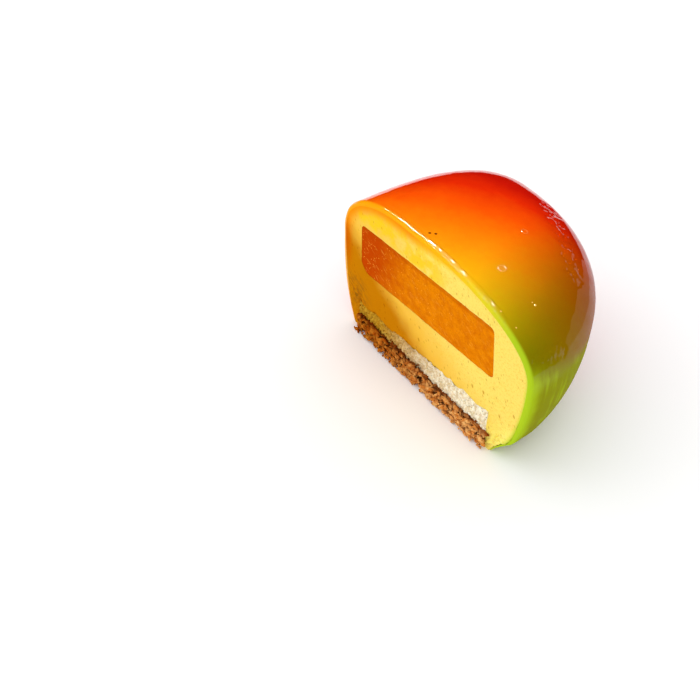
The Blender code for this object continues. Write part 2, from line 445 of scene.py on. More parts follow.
class Food:
    """A material as it is mixed: its nodes and its Principled shader."""

    # A Mix node has several sockets of one name, so those for colours are given by number.
    FIRST_COLOUR = 6
    SECOND_COLOUR = 7
    MIXED_COLOUR = 2

    def __init__(self, name, **constants):
        self.material = bpy.data.materials.new(name)
        self.material.use_nodes = True
        self.nodes = self.material.node_tree.nodes
        self.links = self.material.node_tree.links
        self.shader = self.nodes["Principled BSDF"]
        for words, value in constants.items():
            self.shader.inputs[words.replace("_", " ")].default_value = value
        self.place = self.node("ShaderNodeTexCoord", {}, {}, "Object")

    def node(self, kind, settings, sockets, output=0):
        """Adds a node with its settings and the values or links of its sockets."""
        node = self.nodes.new(kind)
        for name, value in settings.items():
            if name == "stops":
                self.set_stops(node.color_ramp, value)
            else:
                setattr(node, name, value)
        for name, value in sockets.items():
            self.feed(node.inputs[name], value)
        return Field(self, node.outputs[output])

    def set_stops(self, band, stops):
        """Sets the stops of a colour ramp, which starts with two."""
        for number, (position, colour) in enumerate(stops):
            stop = band.elements[number] if number < 2 else band.elements.new(position)
            stop.position = position
            stop.color = colour

    def feed(self, socket, value):
        if isinstance(value, Field):
            self.links.new(value.socket, socket)
        else:
            socket.default_value = value

    def along(self, axis):
        """The place along an axis, in millimetres."""
        return self.node("ShaderNodeSeparateXYZ", {}, {"Vector": self.place}, axis) / MM

    def away(self, point):
        """The distance to a point, in millimetres."""
        settings = {"operation": "DISTANCE"}
        return self.node("ShaderNodeVectorMath", settings, {0: self.place, 1: point}, "Value") / MM

    def stretched(self, turn, sizes):
        """The place turned in the plane of the cut and measured in the given sizes."""
        turned = self.node(
            "ShaderNodeVectorRotate", {"rotation_type": "Y_AXIS"}, {"Vector": self.place, "Angle": turn}
        )
        scale = tuple(1 / size for size in sizes)
        return self.node("ShaderNodeVectorMath", {"operation": "MULTIPLY"}, {0: turned, 1: scale})

    def cloud(self, size, detail=2.0, roughness=0.5, place=None):
        """Soft noise from 0 to 1, with blots of about the size."""
        sockets = {"Scale": 1 / size if place is None else 1.0, "Detail": detail, "Roughness": roughness}
        sockets["Vector"] = self.place if place is None else place
        return self.node("ShaderNodeTexNoise", {}, sockets, "Fac")

    def cells(self, size, output="Distance", place=None):
        """Cells of about the size: the distance to the middle of each, or its own colour."""
        sockets = {"Vector": self.place if place is None else place, "Scale": 1 / size}
        return self.node("ShaderNodeTexVoronoi", {}, sockets, output)

    def dots(self, size, radius, share, place=None):
        """1 in the middle of scattered dots and 0 between them. The share of the cells has one."""
        distance = self.cells(size, "Distance", place)
        lot = self.node("ShaderNodeSeparateColor", {}, {"Color": self.cells(size, "Color", place)}, 0)
        return distance.rise(radius / size, 0.5 * radius / size) * lot.math("LESS_THAN", share)

    def mix(self, share, first, second, blend="MIX"):
        """The first colour, and more of the second where the share is higher."""
        settings = {"data_type": "RGBA", "blend_type": blend}
        sockets = {"Factor": share, self.FIRST_COLOUR: first, self.SECOND_COLOUR: second}
        return self.node("ShaderNodeMix", settings, sockets, self.MIXED_COLOUR)

    def graded(self, value, low, high, stops):
        """A colour from stops, each at its own value between low and high."""
        placed = [((at - low) / (high - low), colour) for at, colour in stops]
        share = (value - low) / (high - low)
        return self.node("ShaderNodeValToRGB", {"stops": placed}, {"Fac": share}, "Color")

    def finish(self, piece, colour, height, depth):
        """Gives the piece its colour, and a bump of that depth where the height goes from 0 to 1."""
        self.feed(self.shader.inputs["Base Color"], colour)
        bump = self.node("ShaderNodeBump", {}, {"Height": height, "Distance": depth}, "Normal")
        self.feed(self.shader.inputs["Normal"], bump)
        piece.data.materials.clear()
        piece.data.materials.append(self.material)


SHADE_SLOPE = 0.62
INSERT_ORANGE = linear(226, 130, 4)
INSERT_DEEP = linear(212, 112, 4)
# Painted shade at the far end.
INSERT_FAR_SHADE_RED = linear(188, 66, 3)
INSERT_DARK = linear(176, 70, 4)
INSERT_GLINT = linear(246, 166, 58)

jelly = Food(
    "fruit_jelly", Roughness=0.4, Specular_IOR_Level=0.0, Subsurface_Weight=0.2, Subsurface_Scale=1.0 * MM
)
jelly.shader.inputs["Subsurface Radius"].default_value = (1.0, 0.35, 0.05)
x = jelly.along("X")
z = jelly.along("Z")
blots = jelly.cloud(2.2 * MM, 3.0)
fibres = jelly.cloud(1.0, place=jelly.stretched(math.radians(-28), (2.4 * MM, 2.4 * MM, 0.5 * MM)))
grain = jelly.cloud(0.45 * MM, 2.0, 0.5)
flecks = jelly.dots(0.8 * MM, 0.18 * MM, 0.5)
# It is blotted and has dark grain. Painted shade makes it redder at the far end.
# Its fibres and flecks are painted pale, as glints, and a painted shadow runs along its top.
jelly_colour = jelly.mix(blots.rise(0.3, 0.7), INSERT_DEEP, INSERT_ORANGE)
jelly_colour = jelly.mix((x - z * 0.3 + blots * 5.0).rise(-12.0, -33.0), jelly_colour, INSERT_FAR_SHADE_RED)
jelly_colour = jelly.mix(grain.rise(0.5, 0.3) * 0.28, jelly_colour, INSERT_DARK)
jelly_colour = jelly.mix(fibres.rise(0.56, 0.8) * 0.4, jelly_colour, INSERT_GLINT)
jelly_colour = jelly.mix(flecks * (x.rise(24.0, -4.0) * 0.65 + 0.25), jelly_colour, INSERT_GLINT)
top_shadow = (z - x * math.tan(INSERT_SLOPE)).rise(38.4, 39.2)
jelly_colour = jelly.mix(top_shadow * 0.4, jelly_colour, INSERT_DARK)
jelly.finish(fruit_insert, jelly_colour, fibres + grain, 0.05 * MM)

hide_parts("fruit_insert")
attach(fruit_insert, "root")


# Crunch base. Nut praline and puffed flakes bound with chocolate and pressed into a ring. Cutting it tears
# the flakes out, so its face is a heap of whole ones over a dark, pitted core, spread at the bottom.
CRUNCH_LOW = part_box("crunch")[0]
CRUNCH_PROUD = CUT_Y - CRUNCH_LOW.y
SPONGE_LOW, SPONGE_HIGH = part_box("sponge")
SPONGE_SLOPE = math.radians(3.4)
FOOT_DEPTH = 35.5 * MM
CRUNCH_PITCH = 0.4 * MM
CORE_SUNK = 0.5 * MM
CORE_RELIEF = 0.8 * MM
CORE_LUMP = 1.6 * MM
CRUNCH_CLEAR = 0.05 * MM
CRUNCH_LEAN = 1.1 * MM
FLAKE_KINDS = 6
FLAKE_SEED = 11
BIG_FLAKES = (170, 1.0 * MM, 1.7 * MM)
SMALL_FLAKES = (420, 0.55 * MM, 1.0 * MM)
GRIT = (420, 0.25 * MM, 0.5 * MM)
FLAKE_WIDTHS = (0.35, 0.6)
FLAKE_THICKNESSES = (0.25, 0.45)
FLAKE_LUMPS = 0.5
FLAKE_KNOBS = 0.2
FACES_KEPT = 0.3
FLAKE_TILT = 0.9
FLAKE_SWING = 0.5
FLAKE_LEANS = (0.4, 1.3)
FLAKES_PROUD = (-0.3, 0.5)
FLAKE_HEIGHTS = (0.2 * MM, SPONGE_LOW.z + 0.1 * MM)
FLAKES_BEYOND = 0.4 * MM
BOX_MARGIN = 0.1 * MM


def foot_form(low, grown=0.0):
    """The foot from that height up, larger by grown at its sides and under the slope of its top."""
    top = SPONGE_HIGH.z + grown
    form = oval_form("foot_form", SPONGE_HIGH.x + grown, SPONGE_LOW.x - grown, FOOT_DEPTH + grown, low, top)
    slope = Vector((-math.sin(SPONGE_SLOPE), 0.0, math.cos(SPONGE_SLOPE)))
    bisect(form, Vector((SPONGE_HIGH.x, CUT_Y, top)), slope, clear=True)
    return form


def foot_layer(name, low, high, pitch):
    """One layer of the foot, from low to high, that runs through the cake."""
    corner = Vector((SPONGE_LOW.x - MM, 0.0, low))
    far_corner = Vector((SPONGE_HIGH.x + MM, 0.0, high))
    layer = cut_block(name, corner, far_corner, pitch, FOOT_DEPTH + 2 * MM)
    combine(layer, "INTERSECT", foot_form(low - MM))
    return layer


def core_relief(point):
    """The pitted core behind the flakes, which leans out to the bottom."""
    lean = CRUNCH_LEAN * (1.0 - point.z / SPONGE_LOW.z)
    return CORE_SUNK - lean - CORE_RELIEF * noise.fractal(point / CORE_LUMP, 1.0, 2.0, 3)


crunch = foot_layer("crunch_base", 0.0, SPONGE_LOW.z - CRUNCH_CLEAR, CRUNCH_PITCH)
shape_cut(crunch, core_relief)

rng = random.Random(FLAKE_SEED)


def flake_kind(number):
    """One knobbly crumb, about 2 units across."""
    bpy.ops.object.select_all(action="DESELECT")
    bpy.ops.mesh.primitive_ico_sphere_add(subdivisions=3, radius=1.0)
    flake = new_piece("flake_kind")
    for vert in flake.data.vertices:
        own = vert.co * 1.1 + Vector((5.0 * number, 0.0, 0.0))
        vert.co *= 1.0 + FLAKE_LUMPS * noise.noise(own) + FLAKE_KNOBS * noise.noise(own * 2.3)
    apply_modifier(flake, "DECIMATE", ratio=FACES_KEPT)
    return flake


def spot_in_crunch(size):
    """A place on the face of the crunch, further out near the bottom."""
    height = rng.uniform(*FLAKE_HEIGHTS)
    lean = CRUNCH_LEAN * (1.0 - height / SPONGE_LOW.z) * rng.uniform(*FLAKE_LEANS)
    out = rng.uniform(*FLAKES_PROUD) * CRUNCH_PROUD + lean
    across = rng.uniform(SPONGE_LOW.x + 0.3 * size, SPONGE_HIGH.x + FLAKES_BEYOND)
    return Vector((across, CUT_Y - out, height))


def scatter(kinds, count, smallest, largest):
    """Copies of the kinds, each turned and sized its own way, over the face of the crunch."""
    copies = []
    for _ in range(count):
        size = rng.uniform(smallest, largest)
        width = size * rng.uniform(*FLAKE_WIDTHS)
        thickness = size * rng.uniform(*FLAKE_THICKNESSES)
        shape = Vector((size, width, thickness))
        roll = rng.uniform(0, math.tau)
        tilt = rng.uniform(-FLAKE_TILT, FLAKE_TILT)
        swing = rng.uniform(-FLAKE_SWING, FLAKE_SWING)
        matrix = Matrix.LocRotScale(spot_in_crunch(size), Euler((roll, tilt, swing)), shape)
        copy = rng.choice(kinds).copy()
        copy.data = copy.data.copy()
        copy.data.transform(matrix)
        lowest = min(vert.co.z for vert in copy.data.vertices)
        foremost = min(vert.co.y for vert in copy.data.vertices)
        back = max(0.0, CRUNCH_LOW.y + BOX_MARGIN - foremost)
        copy.data.transform(Matrix.Translation((0.0, back, max(0.0, -lowest))))
        bpy.context.scene.collection.objects.link(copy)
        copies.append(copy)
    return copies


def join(piece, copies):
    """Makes the copies part of the piece."""
    choose(piece)
    for copy in copies:
        copy.select_set(True)
    bpy.ops.object.join()


flake_kinds = [flake_kind(number) for number in range(FLAKE_KINDS)]
for crumbs in (BIG_FLAKES, SMALL_FLAKES, GRIT):
    join(crunch, scatter(flake_kinds, *crumbs))
for kind in flake_kinds:
    bpy.data.objects.remove(kind, do_unlink=True)
smooth(crunch, 55)

CRUNCH_BROWN = linear(216, 130, 50)
CRUNCH_GOLD = linear(244, 186, 112)
CRUNCH_DARK_AND_SHADE = linear(122, 50, 12)
# Painted warm shade for the far end.
FAR_SHADE_CRUNCH = (0.60, 0.38, 0.10, 1.0)


def paint_far_shade(food, share, colour, stain):
    """The colour, darkened and warmed by its share: painted warm shade at the far end of the cut."""
    return food.mix(share, colour, food.mix(1.0, colour, stain, "MULTIPLY"))


praline = Food("nut_crunch", Roughness=0.6, Specular_IOR_Level=0.0)
x = praline.along("X")
z = praline.along("Z")
bits = praline.node("ShaderNodeSeparateColor", {}, {"Color": praline.cells(1.1 * MM, "Color")}, 0)
fine = praline.cloud(0.4 * MM, 3.0, 0.65)
# Each bit has its own brown. Between the bits and further in it is darker: the dark core, with painted shade.
# Painted warm shade darkens the far end.
praline_colour = praline.mix((bits * 0.6 + fine * 0.6).rise(0.25, 0.85), CRUNCH_BROWN, CRUNCH_GOLD)
praline_colour = praline.mix(fine.rise(0.48, 0.3) * 0.6, praline_colour, CRUNCH_DARK_AND_SHADE)
praline_colour = praline.mix(praline.cells(1.1 * MM).rise(0.5, 0.8) * 0.4, praline_colour, CRUNCH_DARK_AND_SHADE)
inward = (praline.along("Y") - CUT_Y / MM + z * 0.14).rise(-1.1, 0.5)
praline_colour = praline.mix(inward * 0.8, praline_colour, CRUNCH_DARK_AND_SHADE)
praline_colour = paint_far_shade(praline, x.rise(20.0, -24.0), praline_colour, FAR_SHADE_CRUNCH)
praline.finish(crunch, praline_colour, fine, 0.12 * MM)

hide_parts("crunch")
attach(crunch, "root")


# Sponge. Pale nut sponge, baked in a sheet and cut out with the same ring. Its open crumb shows at the cut,
# with small dark specks of vanilla and nut skin.
SPONGE_PITCH = 0.24 * MM
SPONGE_RELIEF = 0.75 * MM
SPONGE_SUNK = 0.04 * MM
PUFF_SIZE = 1.9 * MM
CLUMP_SIZE = 1.2 * MM
CRUMB_SIZE = 0.45 * MM
CREVICE = 0.22


def sponge_relief(point):
    """Soft puffs, with crevices between clumps of crumb."""
    nearest, second = noise.voronoi(point / CLUMP_SIZE)[0][:2]
    puffs = noise.fractal(point / PUFF_SIZE, 1.0, 2.0, 3)
    crevice = max(0.0, CREVICE - (second - nearest))
    crumbs = noise.noise(point / CRUMB_SIZE)
    return SPONGE_RELIEF * (0.6 * puffs + 2.2 * crevice + 0.3 * crumbs - 0.2)


sponge = foot_layer("nut_sponge", SPONGE_LOW.z - SPONGE_SUNK, SPONGE_HIGH.z + MM, SPONGE_PITCH)
shape_cut(sponge, sponge_relief)
smooth(sponge, 60)

SPONGE_PALE = linear(252, 244, 220)
SPONGE_BEIGE = linear(230, 210, 170)
# Painted shade of the open crumb.
SPONGE_GREY_SHADE = linear(182, 166, 128)
SPONGE_SPECK = linear(92, 80, 50)
# Painted warm shade for the far end.
FAR_SHADE_SPONGE = (0.56, 0.33, 0.03, 1.0)

crumb = Food(
    "sponge_crumb", Roughness=0.9, Specular_IOR_Level=0.0, Subsurface_Weight=0.2, Subsurface_Scale=0.6 * MM
)
crumb.shader.inputs["Subsurface Radius"].default_value = (1.0, 0.8, 0.5)
x = crumb.along("X")
froth = crumb.cloud(1.1 * MM, 4.0, 0.6)
# Pale crumb with beige places, grey places of painted shade, and dark specks; painted warm shade at the far
# end.
crumb_colour = crumb.mix(froth.rise(0.6, 0.4), SPONGE_PALE, SPONGE_BEIGE)
crumb_colour = crumb.mix(crumb.cloud(0.9 * MM, 3.0).rise(0.42, 0.3) * 0.6, crumb_colour, SPONGE_GREY_SHADE)
crumb_colour = crumb.mix(crumb.dots(0.9 * MM, 0.22 * MM, 0.4) * 0.85, crumb_colour, SPONGE_SPECK)
crumb_colour = paint_far_shade(crumb, (x + froth * 5.0).rise(19.0, -20.0), crumb_colour, FAR_SHADE_SPONGE)
crumb.finish(sponge, crumb_colour, froth, 0.15 * MM)

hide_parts("sponge")
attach(sponge, "root")


# Mousse. Mango mousse poured into the fruit-shaped mould round the insert and frozen. Cutting it opens small
# bubbles, smears it a little and tears it beside the foot.
NEAR_REACH = 49.2 * MM
FAR_REACH = 30.8 * MM
WAIST_HEIGHT = 31.8 * MM
CROWN_RISE = 18.8 * MM
LOWER_REACH = 49.0 * MM
SQUARENESS = 2.29
TIP_RISE = 2.1 * MM
CROWN_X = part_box("glaze")[0].x + FAR_REACH
GLAZE_THICKNESS = 1.4 * MM
GLAZE_THIN = 0.6 * MM
GLAZE_FULL_HEIGHT = 20.0 * MM
MOUSSE_PITCH = 0.34 * MM
MOUSSE_PANELS = 48
TUCK_HEIGHT = 9.0 * MM
TUCK_DEPTH = 10.0 * MM
TUCK_SHARE = 0.5
FOOT_CLEAR = 0.2 * MM
FAR_TEAR = (Vector((-33, 0, 10)) * MM, 6.0 * MM)
NEAR_TEAR = (Vector((33, 0, 5)) * MM, 8.0 * MM)
TEAR_SIZE = 1.5 * MM
DRAG_SIZE = 2.4 * MM
SMEAR_LENGTH = 5 * MM
SMEAR_WIDTH = 0.8 * MM
PORE_SPACING = 1.7 * MM
PORE_RADIUS = 0.2
PORE_DEPTH = 1.6 * MM
SMEAR_DEPTH = 0.04 * MM
FAR_TEAR_DEPTH = 1.3 * MM
NEAR_TEAR_DEPTH = 0.7 * MM
NEAR_DRAG_DEPTH = 1.5 * MM
RIM_SHARE = 0.97
RIM_FADE = 0.05


def dome_point(direction):
    """Where a ray from the middle of the waist meets the outside of the glaze."""
    reach = NEAR_REACH if direction.x > 0 else FAR_REACH
    rise = CROWN_RISE if direction.z > 0 else LOWER_REACH
    parts = (direction.x / reach, direction.y / DOME_DEPTH, direction.z / rise)
    length = sum(abs(part) ** SQUARENESS for part in parts) ** (-1 / SQUARENESS)
    point = Vector((CROWN_X, CUT_Y, WAIST_HEIGHT)) + direction * length
    bend = ((point.y - CUT_Y) / DOME_DEPTH) ** 2
    return point + Vector((TIP_SHIFT * bend, 0.0, TIP_RISE * bend))


def ovoid_form(name, panels, in_glaze):
    """The whole ovoid, out to the outside or the inside of the glaze."""
    bpy.ops.object.select_all(action="DESELECT")
    bpy.ops.mesh.primitive_cube_add(size=2.0)
    form = new_piece(name)
    bpy.ops.object.mode_set(mode="EDIT")
    bpy.ops.mesh.subdivide(number_cuts=panels - 1)
    bpy.ops.object.mode_set(mode="OBJECT")
    for vert in form.data.vertices:
        even = Vector(math.tan(part * math.pi / 4) for part in vert.co)
        vert.co = dome_point(even.normalized())
    if in_glaze:
        form.data.update()
        for vert, normal in [(vert, vert.normal.copy()) for vert in form.data.vertices]:
            full = min(1.0, max(0.0, vert.co.z / GLAZE_FULL_HEIGHT))
            vert.co -= normal * (GLAZE_THIN + (GLAZE_THICKNESS - GLAZE_THIN) * full)
    return form


def outline_share(point):
    """0 in the middle of the cut and 1 at the outside of the glaze."""
    x = point.x - CROWN_X
    z = point.z - WAIST_HEIGHT
    reach = NEAR_REACH if x > 0 else FAR_REACH
    rise = CROWN_RISE if z > 0 else LOWER_REACH
    return (abs(x / reach) ** SQUARENESS + abs(z / rise) ** SQUARENESS) ** (1 / SQUARENESS)


def tuck_near_corner(piece):
    """Draws the near lower corner in beside the foot, where cutting pressed it under."""
    foot_x = SPONGE_HIGH.x + FOOT_CLEAR
    for vert in piece.data.vertices:
        beyond = vert.co.x - foot_x
        if beyond > 0:
            low = 1.0 - min(1.0, vert.co.z / TUCK_HEIGHT)
            front = ramp(vert.co.y, CUT_Y + TUCK_DEPTH, CUT_Y)
            vert.co.x = foot_x + beyond * (1.0 - TUCK_SHARE * low * front)


def torn(point, middle, radius):
    """How torn the mousse is beside one end of the foot: 1 in the middle of that place and 0 round it."""
    away = Vector((point.x - middle.x, 0.0, point.z - middle.z)).length / radius
    return max(0.0, 1.0 - away)


def mousse_relief(point):
    """The mousse's face: smeared, with pores, torn at both ends of the foot and calm beside the glaze."""
    calm = min(1.0, max(0.0, (RIM_SHARE - outline_share(point)) / RIM_FADE))
    smear = noise.noise(Vector((point.x / SMEAR_LENGTH, 0.0, point.z / SMEAR_WIDTH)))
    distances, middles = noise.voronoi(point / PORE_SPACING)
    pore = max(0.0, PORE_RADIUS - distances[0]) if noise.cell(middles[0] * 9.1) > 0.1 else 0.0
    rough = noise.fractal(point / TEAR_SIZE, 1.0, 2.0, 3)
    along = Vector((point.x + 0.6 * point.z, 0.0, 3 * (point.z - 0.6 * point.x)))
    dragged = noise.noise(along / DRAG_SIZE)
    far = torn(point, *FAR_TEAR) * FAR_TEAR_DEPTH * rough
    near = torn(point, *NEAR_TEAR) * (NEAR_DRAG_DEPTH * dragged + NEAR_TEAR_DEPTH * rough)
    return (SMEAR_DEPTH * smear + PORE_DEPTH * pore + far + near) * calm


mousse_low, mousse_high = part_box("mousse")
mousse = cut_block(
    "mango_mousse",
    Vector((mousse_low.x - MM, 0.0, 0.0)),
    Vector((mousse_high.x + MM, 0.0, mousse_high.z + MM)),
    MOUSSE_PITCH,
    DOME_DEPTH,
)
combine(mousse, "INTERSECT", ovoid_form("inside_of_glaze", MOUSSE_PANELS, in_glaze=True))
combine(mousse, "DIFFERENCE", insert_form(INSERT_GROWN + SKIN_GAP))
combine(mousse, "DIFFERENCE", foot_form(-5 * MM, SKIN_GAP))
tuck_near_corner(mousse)
shape_cut(mousse, mousse_relief)
smooth(mousse, 40)

MOUSSE_PALE = linear(248, 218, 104)
MOUSSE_GOLD = linear(238, 184, 62)
MOUSSE_SUN = linear(247, 198, 24)
MOUSSE_LEMON = linear(248, 236, 116)
# Painted shade in the pores.
MOUSSE_PORE_SHADE = linear(190, 126, 20)
BLEED_ORANGE = linear(247, 142, 12)
BLEED_GOLD = linear(250, 192, 30)
BLEED_GREEN = linear(192, 202, 44)
TORN_BROWN = linear(140, 92, 22)
# Painted warm shade for the far end.
FAR_SHADE_MOUSSE = (0.62, 0.38, 0.03, 1.0)

cream = Food(
    "mango_mousse", Roughness=0.6, Specular_IOR_Level=0.0, Subsurface_Weight=0.3, Subsurface_Scale=1.2 * MM
)
cream.shader.inputs["Subsurface Radius"].default_value = (1.0, 0.6, 0.15)
x = cream.along("X")
z = cream.along("Z")
# How far inside the outline of the cut, in millimetres, on the line from the middle of the waist.
from_crown = x - CROWN_X / MM
from_waist = z - WAIST_HEIGHT / MM
near_side = from_crown.math("GREATER_THAN", 0.0)
over_waist = from_waist.math("GREATER_THAN", 0.0)
reach = near_side * ((NEAR_REACH - FAR_REACH) / MM) + FAR_REACH / MM
rise = over_waist * ((CROWN_RISE - LOWER_REACH) / MM) + LOWER_REACH / MM
share = (abs(from_crown / reach) ** SQUARENESS + abs(from_waist / rise) ** SQUARENESS) ** (1 / SQUARENESS)
from_middle = (from_crown * from_crown + from_waist * from_waist) ** 0.5
to_rim = from_middle / share - from_middle
soft_blots = cream.cloud(4.5 * MM, 3.0)
streaks = cream.cloud(1.0, place=cream.stretched(math.radians(-6), (8 * MM, 8 * MM, 0.6 * MM)))
grain = cream.cloud(0.5 * MM, 3.0, 0.6)
drawn = cream.stretched(math.radians(30), (0.8, 1.0, 1.5))
pinholes = cream.dots(1.5 * MM, 0.36 * MM, 0.5, drawn)
pores = cream.dots(2.8 * MM, 0.55 * MM, 0.4, drawn) * z.rise(30.0, 19.0)
# Pale at the upper near side, golden below and at the far end, sunny over the insert, lemon at the near foot.
gilded = (z + x * SHADE_SLOPE + soft_blots * 6.0).rise(38.0, 16.0)
gilded = gilded.math("MAXIMUM", x.rise(4.0, -26.0) * 0.7)
cream_colour = cream.mix(gilded, MOUSSE_PALE, MOUSSE_GOLD)
sunny = z.rise(38.5, 41.0) * x.rise(12.0, -2.0) * soft_blots.rise(0.35, 0.6)
cream_colour = cream.mix(sunny * 0.9, cream_colour, MOUSSE_SUN)
lemon = (x - z).rise(14.0, 26.0) * z.rise(18.0, 10.0) * (soft_blots * 0.5 + 0.6)
cream_colour = cream.mix(lemon, cream_colour, MOUSSE_LEMON)
cream_colour = cream.mix(streaks.rise(0.5, 0.75) * 0.2, cream_colour, MOUSSE_GOLD)
cream_colour = cream.mix(grain.rise(0.52, 0.28) * 0.6, cream_colour, MOUSSE_GOLD)
# The pinholes and pores are painted darker, as painted shade in the holes.
cream_colour = cream.mix(pinholes * 0.5 + pores * 0.7, cream_colour, MOUSSE_PORE_SHADE)
# The glaze's colour has bled into the mousse along its edge, wider at the far end.
bleed_width = x.rise(-20.0, 20.0) * -2.8 + 5.2
bleed = (to_rim / bleed_width + soft_blots * 0.25).rise(1.25, 0.4)
bleed_colour = cream.graded(
    x, -40.0, 40.0, [(-10.0, BLEED_ORANGE), (6.0, BLEED_GOLD), (20.0, BLEED_GOLD), (30.0, BLEED_GREEN)]
)
bleeding = z.rise(16.0, 30.0).math("MAXIMUM", x.rise(20.0, 30.0))
cream_colour = cream.mix(bleed * bleeding, cream_colour, bleed_colour)
# The lower far part is deeper in colour, painted warm shade, and scraped brown beside the far end of the
# foot.
shaded = (z + x * SHADE_SLOPE + soft_blots * 5.0).rise(19.5, 7.5)
cream_colour = paint_far_shade(cream, shaded, cream_colour, FAR_SHADE_MOUSSE)
scraped = cream.away((-33 * MM, CUT_Y, 13 * MM)).rise(9.0, 2.0)
drags = cream.cloud(1.0, 3.0, place=cream.stretched(math.radians(-35), (3 * MM, 3 * MM, 0.9 * MM)))
cream_colour = cream.mix(scraped * drags.rise(0.42, 0.65) * 0.6, cream_colour, TORN_BROWN)
cream.finish(mousse, cream_colour, streaks * 0.3 + grain, 0.09 * MM)

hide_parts("mousse")
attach(mousse, "root")


# Glaze. Clear mirror glaze poured over the frozen cake, then blushed with colour: red over the crown and the
# back, yellow between and green at the long end. Its cut edge is rounded, and it ends just over the table.
GLAZE_PANELS = 148
GLAZE_LIP = 0.5 * MM
GLAZE_WAVE = 0.05 * MM
RIM_LOOPS = (0.05, 0.15, 0.3, 0.5, 0.7, 0.9, 1.1, 1.3, 1.5, 1.7, 1.9, 2.1, 2.3)
BEAD_BACK = 1.35 * MM
BEAD_AT_EDGE = 0.35 * MM
BEAD_WIDTH = 0.42 * MM
BEAD_HEIGHT = 0.26 * MM
BEAD_DRAWN_BACK = (-10 * MM, 1 * MM)
BEAD_FAR_END = (-26 * MM, -16 * MM)
BEAD_NEAR_END = (31 * MM, 24 * MM)
BEAD_SWAY = 0.4 * MM
BEAD_SWAY_LENGTH = 7 * MM
BEAD_WIGGLE = 0.25 * MM
BEAD_WIGGLE_LENGTH = 1.8 * MM
BEAD_BREAK_LENGTH = 2.6 * MM
ROUNDING = 0.35 * MM
CROWN_ROUNDING = 0.1 * MM
FAR_ROUNDING = 0.75 * MM
NEAR_ROUNDING = 0.3 * MM
ROUNDER_HEIGHTS = (12 * MM, 30 * MM)
ROUNDER_FAR_END = (-16 * MM, -27 * MM)
ROUNDER_NEAR_END = (-10 * MM, 4 * MM)
SETTLED_REACH = 4 * MM
WAVE_SIZE = 6.0 * MM
RIPPLE_SIZE = 2.4 * MM
CREASE_SIZE = 2.2 * MM
WRINKLE_HEIGHT = 0.34 * MM
WRINKLE_CUTS = 2
WRINKLES = (
    (Vector((-2, 18.5, 44)) * MM, Vector((23, 5, 43.5)) * MM, 4.0 * MM),
    (Vector((37, -20, 39.5)) * MM, Vector((37.5, -12, 37.7)) * MM, 3.0 * MM),
)
RING_SHARE = 0.16
RING_SUNK = 0.05 * MM
BUBBLES = (
    (Vector((14.4, -12.7, 48.7)) * MM, Vector((0.16, 0.06, 0.99)), 1.0 * MM),
    (Vector((6.1, 2.1, 48.4)) * MM, Vector((0.13, 0.16, 0.98)), 0.8 * MM),
)
DROPS = (
    (Vector((26.9, -12.4, 45.35)) * MM, 0.24 * MM),
    (Vector((26.0, -12.6, 45.65)) * MM, 0.13 * MM),
    (Vector((24.8, -21.8, 46.45)) * MM, 0.24 * MM),
    (Vector((29.8, -20.9, 44.55)) * MM, 0.14 * MM),
)
SPECKS = ((-5.3 * MM, -20.3 * MM, 50.5 * MM), (-4.2 * MM, -19.2 * MM, 50.5 * MM))


def wrinkled(point):
    """1 where the setting glaze has crept into wrinkles, along the shoulders."""
    most = 0.0
    for start, end, width in WRINKLES:
        along = end - start
        share = min(1.0, max(0.0, (point - start).dot(along) / along.length_squared))
        most = max(most, 1.0 - (point - start - along * share).length / width)
    return ramp(most, 0.0, 0.6)


def settle_glaze(form):
    """Lets the poured surface swell and sink a little, less at the cut, and wrinkle in places."""
    choose(form)
    bpy.ops.object.mode_set(mode="EDIT")
    bpy.ops.mesh.select_mode(type="FACE")
    bpy.ops.mesh.select_all(action="DESELECT")
    bpy.ops.object.mode_set(mode="OBJECT")
    for face in form.data.polygons:
        face.select = wrinkled(face.center) > 0.0
    bpy.ops.object.mode_set(mode="EDIT")
    bpy.ops.mesh.subdivide(number_cuts=WRINKLE_CUTS)
    bpy.ops.mesh.select_mode(type="VERT")
    bpy.ops.object.mode_set(mode="OBJECT")
    form.data.update()
    for vert, normal in [(vert, vert.normal.copy()) for vert in form.data.vertices]:
        away = min(1.0, max(0.25, (vert.co.y - CUT_Y) / SETTLED_REACH))
        wave = noise.noise(vert.co / WAVE_SIZE) + 0.45 * noise.noise(vert.co / RIPPLE_SIZE)
        crease = 0.5 - noise.noise(vert.co / CREASE_SIZE) - 0.4 * noise.noise(vert.co / MM)
        sunk = GLAZE_WAVE * away * (wave + 1.0) + WRINKLE_HEIGHT * wrinkled(vert.co) * crease
        vert.co -= normal * sunk


def rim_rounding(point):
    """How round the cut edge is: most over the far end, less over the crown and least near the table."""
    high = ramp(point.z, *ROUNDER_HEIGHTS)
    far = ramp(point.x, *ROUNDER_FAR_END)
    near = ramp(point.x, *ROUNDER_NEAR_END)
    uneven = 1.0 + 0.2 * noise.noise(point / (5 * MM))
    return (ROUNDING + high * (CROWN_ROUNDING + FAR_ROUNDING * far + NEAR_ROUNDING * near)) * uneven


def along_edge(point, length, lane):
    """Noise that varies along the cut edge, over about the length. Each lane has its own."""
    return noise.noise(Vector((point.x / length, lane, 0.0)))


